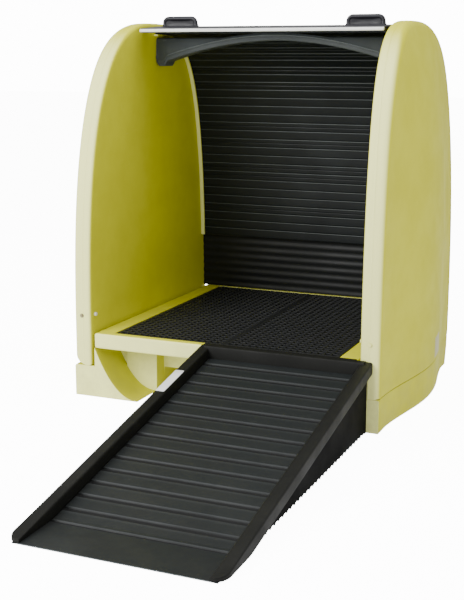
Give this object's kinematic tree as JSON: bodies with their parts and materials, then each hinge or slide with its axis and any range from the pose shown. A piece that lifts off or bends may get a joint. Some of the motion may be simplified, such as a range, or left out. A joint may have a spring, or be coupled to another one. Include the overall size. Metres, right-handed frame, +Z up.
{
  "type": "spill containment pallet",
  "caption": "Covered drum spill pallet: moulded sump base with deck grating, arched side panels, roll-up slatted front door shown open, and a hook-on loading ramp.",
  "frame": {"origin": "on the floor under the middle of the covered pallet, without the ramp", "axes": "+Z up, -Y out of the open front and down the ramp, +X to the right of someone facing the pallet from behind, which is the right of the picture"},
  "size_m": [1.778, 3.1215, 1.9348],
  "materials": {
    "yellow_polyethylene": "satin, moulded grain",
    "black_slat": "satin",
    "black_rear_wall": "satin",
    "black_grate": "matt",
    "black_rail": "satin",
    "black_header": "satin, lightly scuffed",
    "black_ramp": "matt, moulded grain",
    "white_edge_seal": "matt",
    "zinc_steel": "zinc plated",
    "pale_lug": "satin",
    "blank_label": "plain film"
  },
  "bodies": {
    "pallet": {"base_sump": "yellow_polyethylene", "door_slat_01": "black_slat", "door_slat_02": "black_slat", "door_slat_03": "black_slat", "door_slat_04": "black_slat", "door_slat_05": "black_slat", "door_slat_06": "black_slat", "door_slat_07": "black_slat", "door_slat_08": "black_slat", "door_slat_09": "black_slat", "door_slat_10": "black_slat", "door_slat_11": "black_slat", "door_slat_12": "black_slat", "door_slat_13": "black_slat", "door_slat_14": "black_slat", "door_slat_15": "black_slat", "door_slat_16": "black_slat", "door_slat_17": "black_slat", "door_slat_18": "black_slat", "door_slat_19": "black_slat", "door_slat_20": "black_slat", "door_slat_21": "black_slat", "door_slat_22": "black_slat", "door_slat_23": "black_slat", "door_slat_24": "black_slat", "door_slat_25": "black_slat", "door_slat_26": "black_slat", "door_slat_27": "black_slat", "door_slat_28": "black_slat", "door_slat_29": "black_slat", "door_slat_30": "black_slat", "door_slat_31": "black_slat", "door_track_left": "yellow_polyethylene", "door_track_right": "yellow_polyethylene", "header_beam": "black_header", "lock_lug_left": "pale_lug", "lock_lug_right": "pale_lug", "panel_label": "blank_label", "rear_wall": "black_rear_wall", "rim_bolt_left": "zinc_steel", "rim_bolt_right": "zinc_steel", "side_panel_left": "yellow_polyethylene", "side_panel_right": "yellow_polyethylene"},
    "door_shoes": {"guide_shoe_left": "black_rail", "guide_shoe_right": "black_rail"},
    "front_door": {"leading_rail": "black_rail", "edge_seal": "white_edge_seal", "grab_handle_left": "black_rail", "grab_handle_right": "black_rail"},
    "left_grate": {"deck_grate_left": "black_grate"},
    "right_grate": {"deck_grate_right": "black_grate"},
    "ramp": {"ramp_body": "black_ramp", "ramp_label": "blank_label"}
  },
  "joints": [
    {"name": "door_travel", "type": "hinge", "parent": "pallet", "child": "door_shoes", "pos_m": [0, 0.7771, 0.7268], "axis": [1, 0, 0], "range_deg": [0, 61.7]},
    {"name": "rail_level", "type": "hinge", "parent": "door_shoes", "child": "front_door", "pos_m": [0, -0.1251, 1.866], "axis": [1, 0, 0], "range_deg": [0, 20.5]},
    {"name": "left_grate_tip", "type": "hinge", "parent": "pallet", "child": "left_grate", "pos_m": [-0.3, -0.655, 0.338], "axis": [1, 0, 0], "range_deg": [0, 20]},
    {"name": "right_grate_tip", "type": "hinge", "parent": "pallet", "child": "right_grate", "pos_m": [0.3, -0.655, 0.338], "axis": [1, 0, 0], "range_deg": [0, 20]},
    {"name": "ramp_pull", "type": "slide", "parent": "pallet", "child": "ramp", "axis": [0, -1, 0], "range_m": [0, 0.25]}
  ],
  "couplings": [
    {"joint": "rail_level", "follows": "door_travel", "ratio": 0.33}
  ]
}
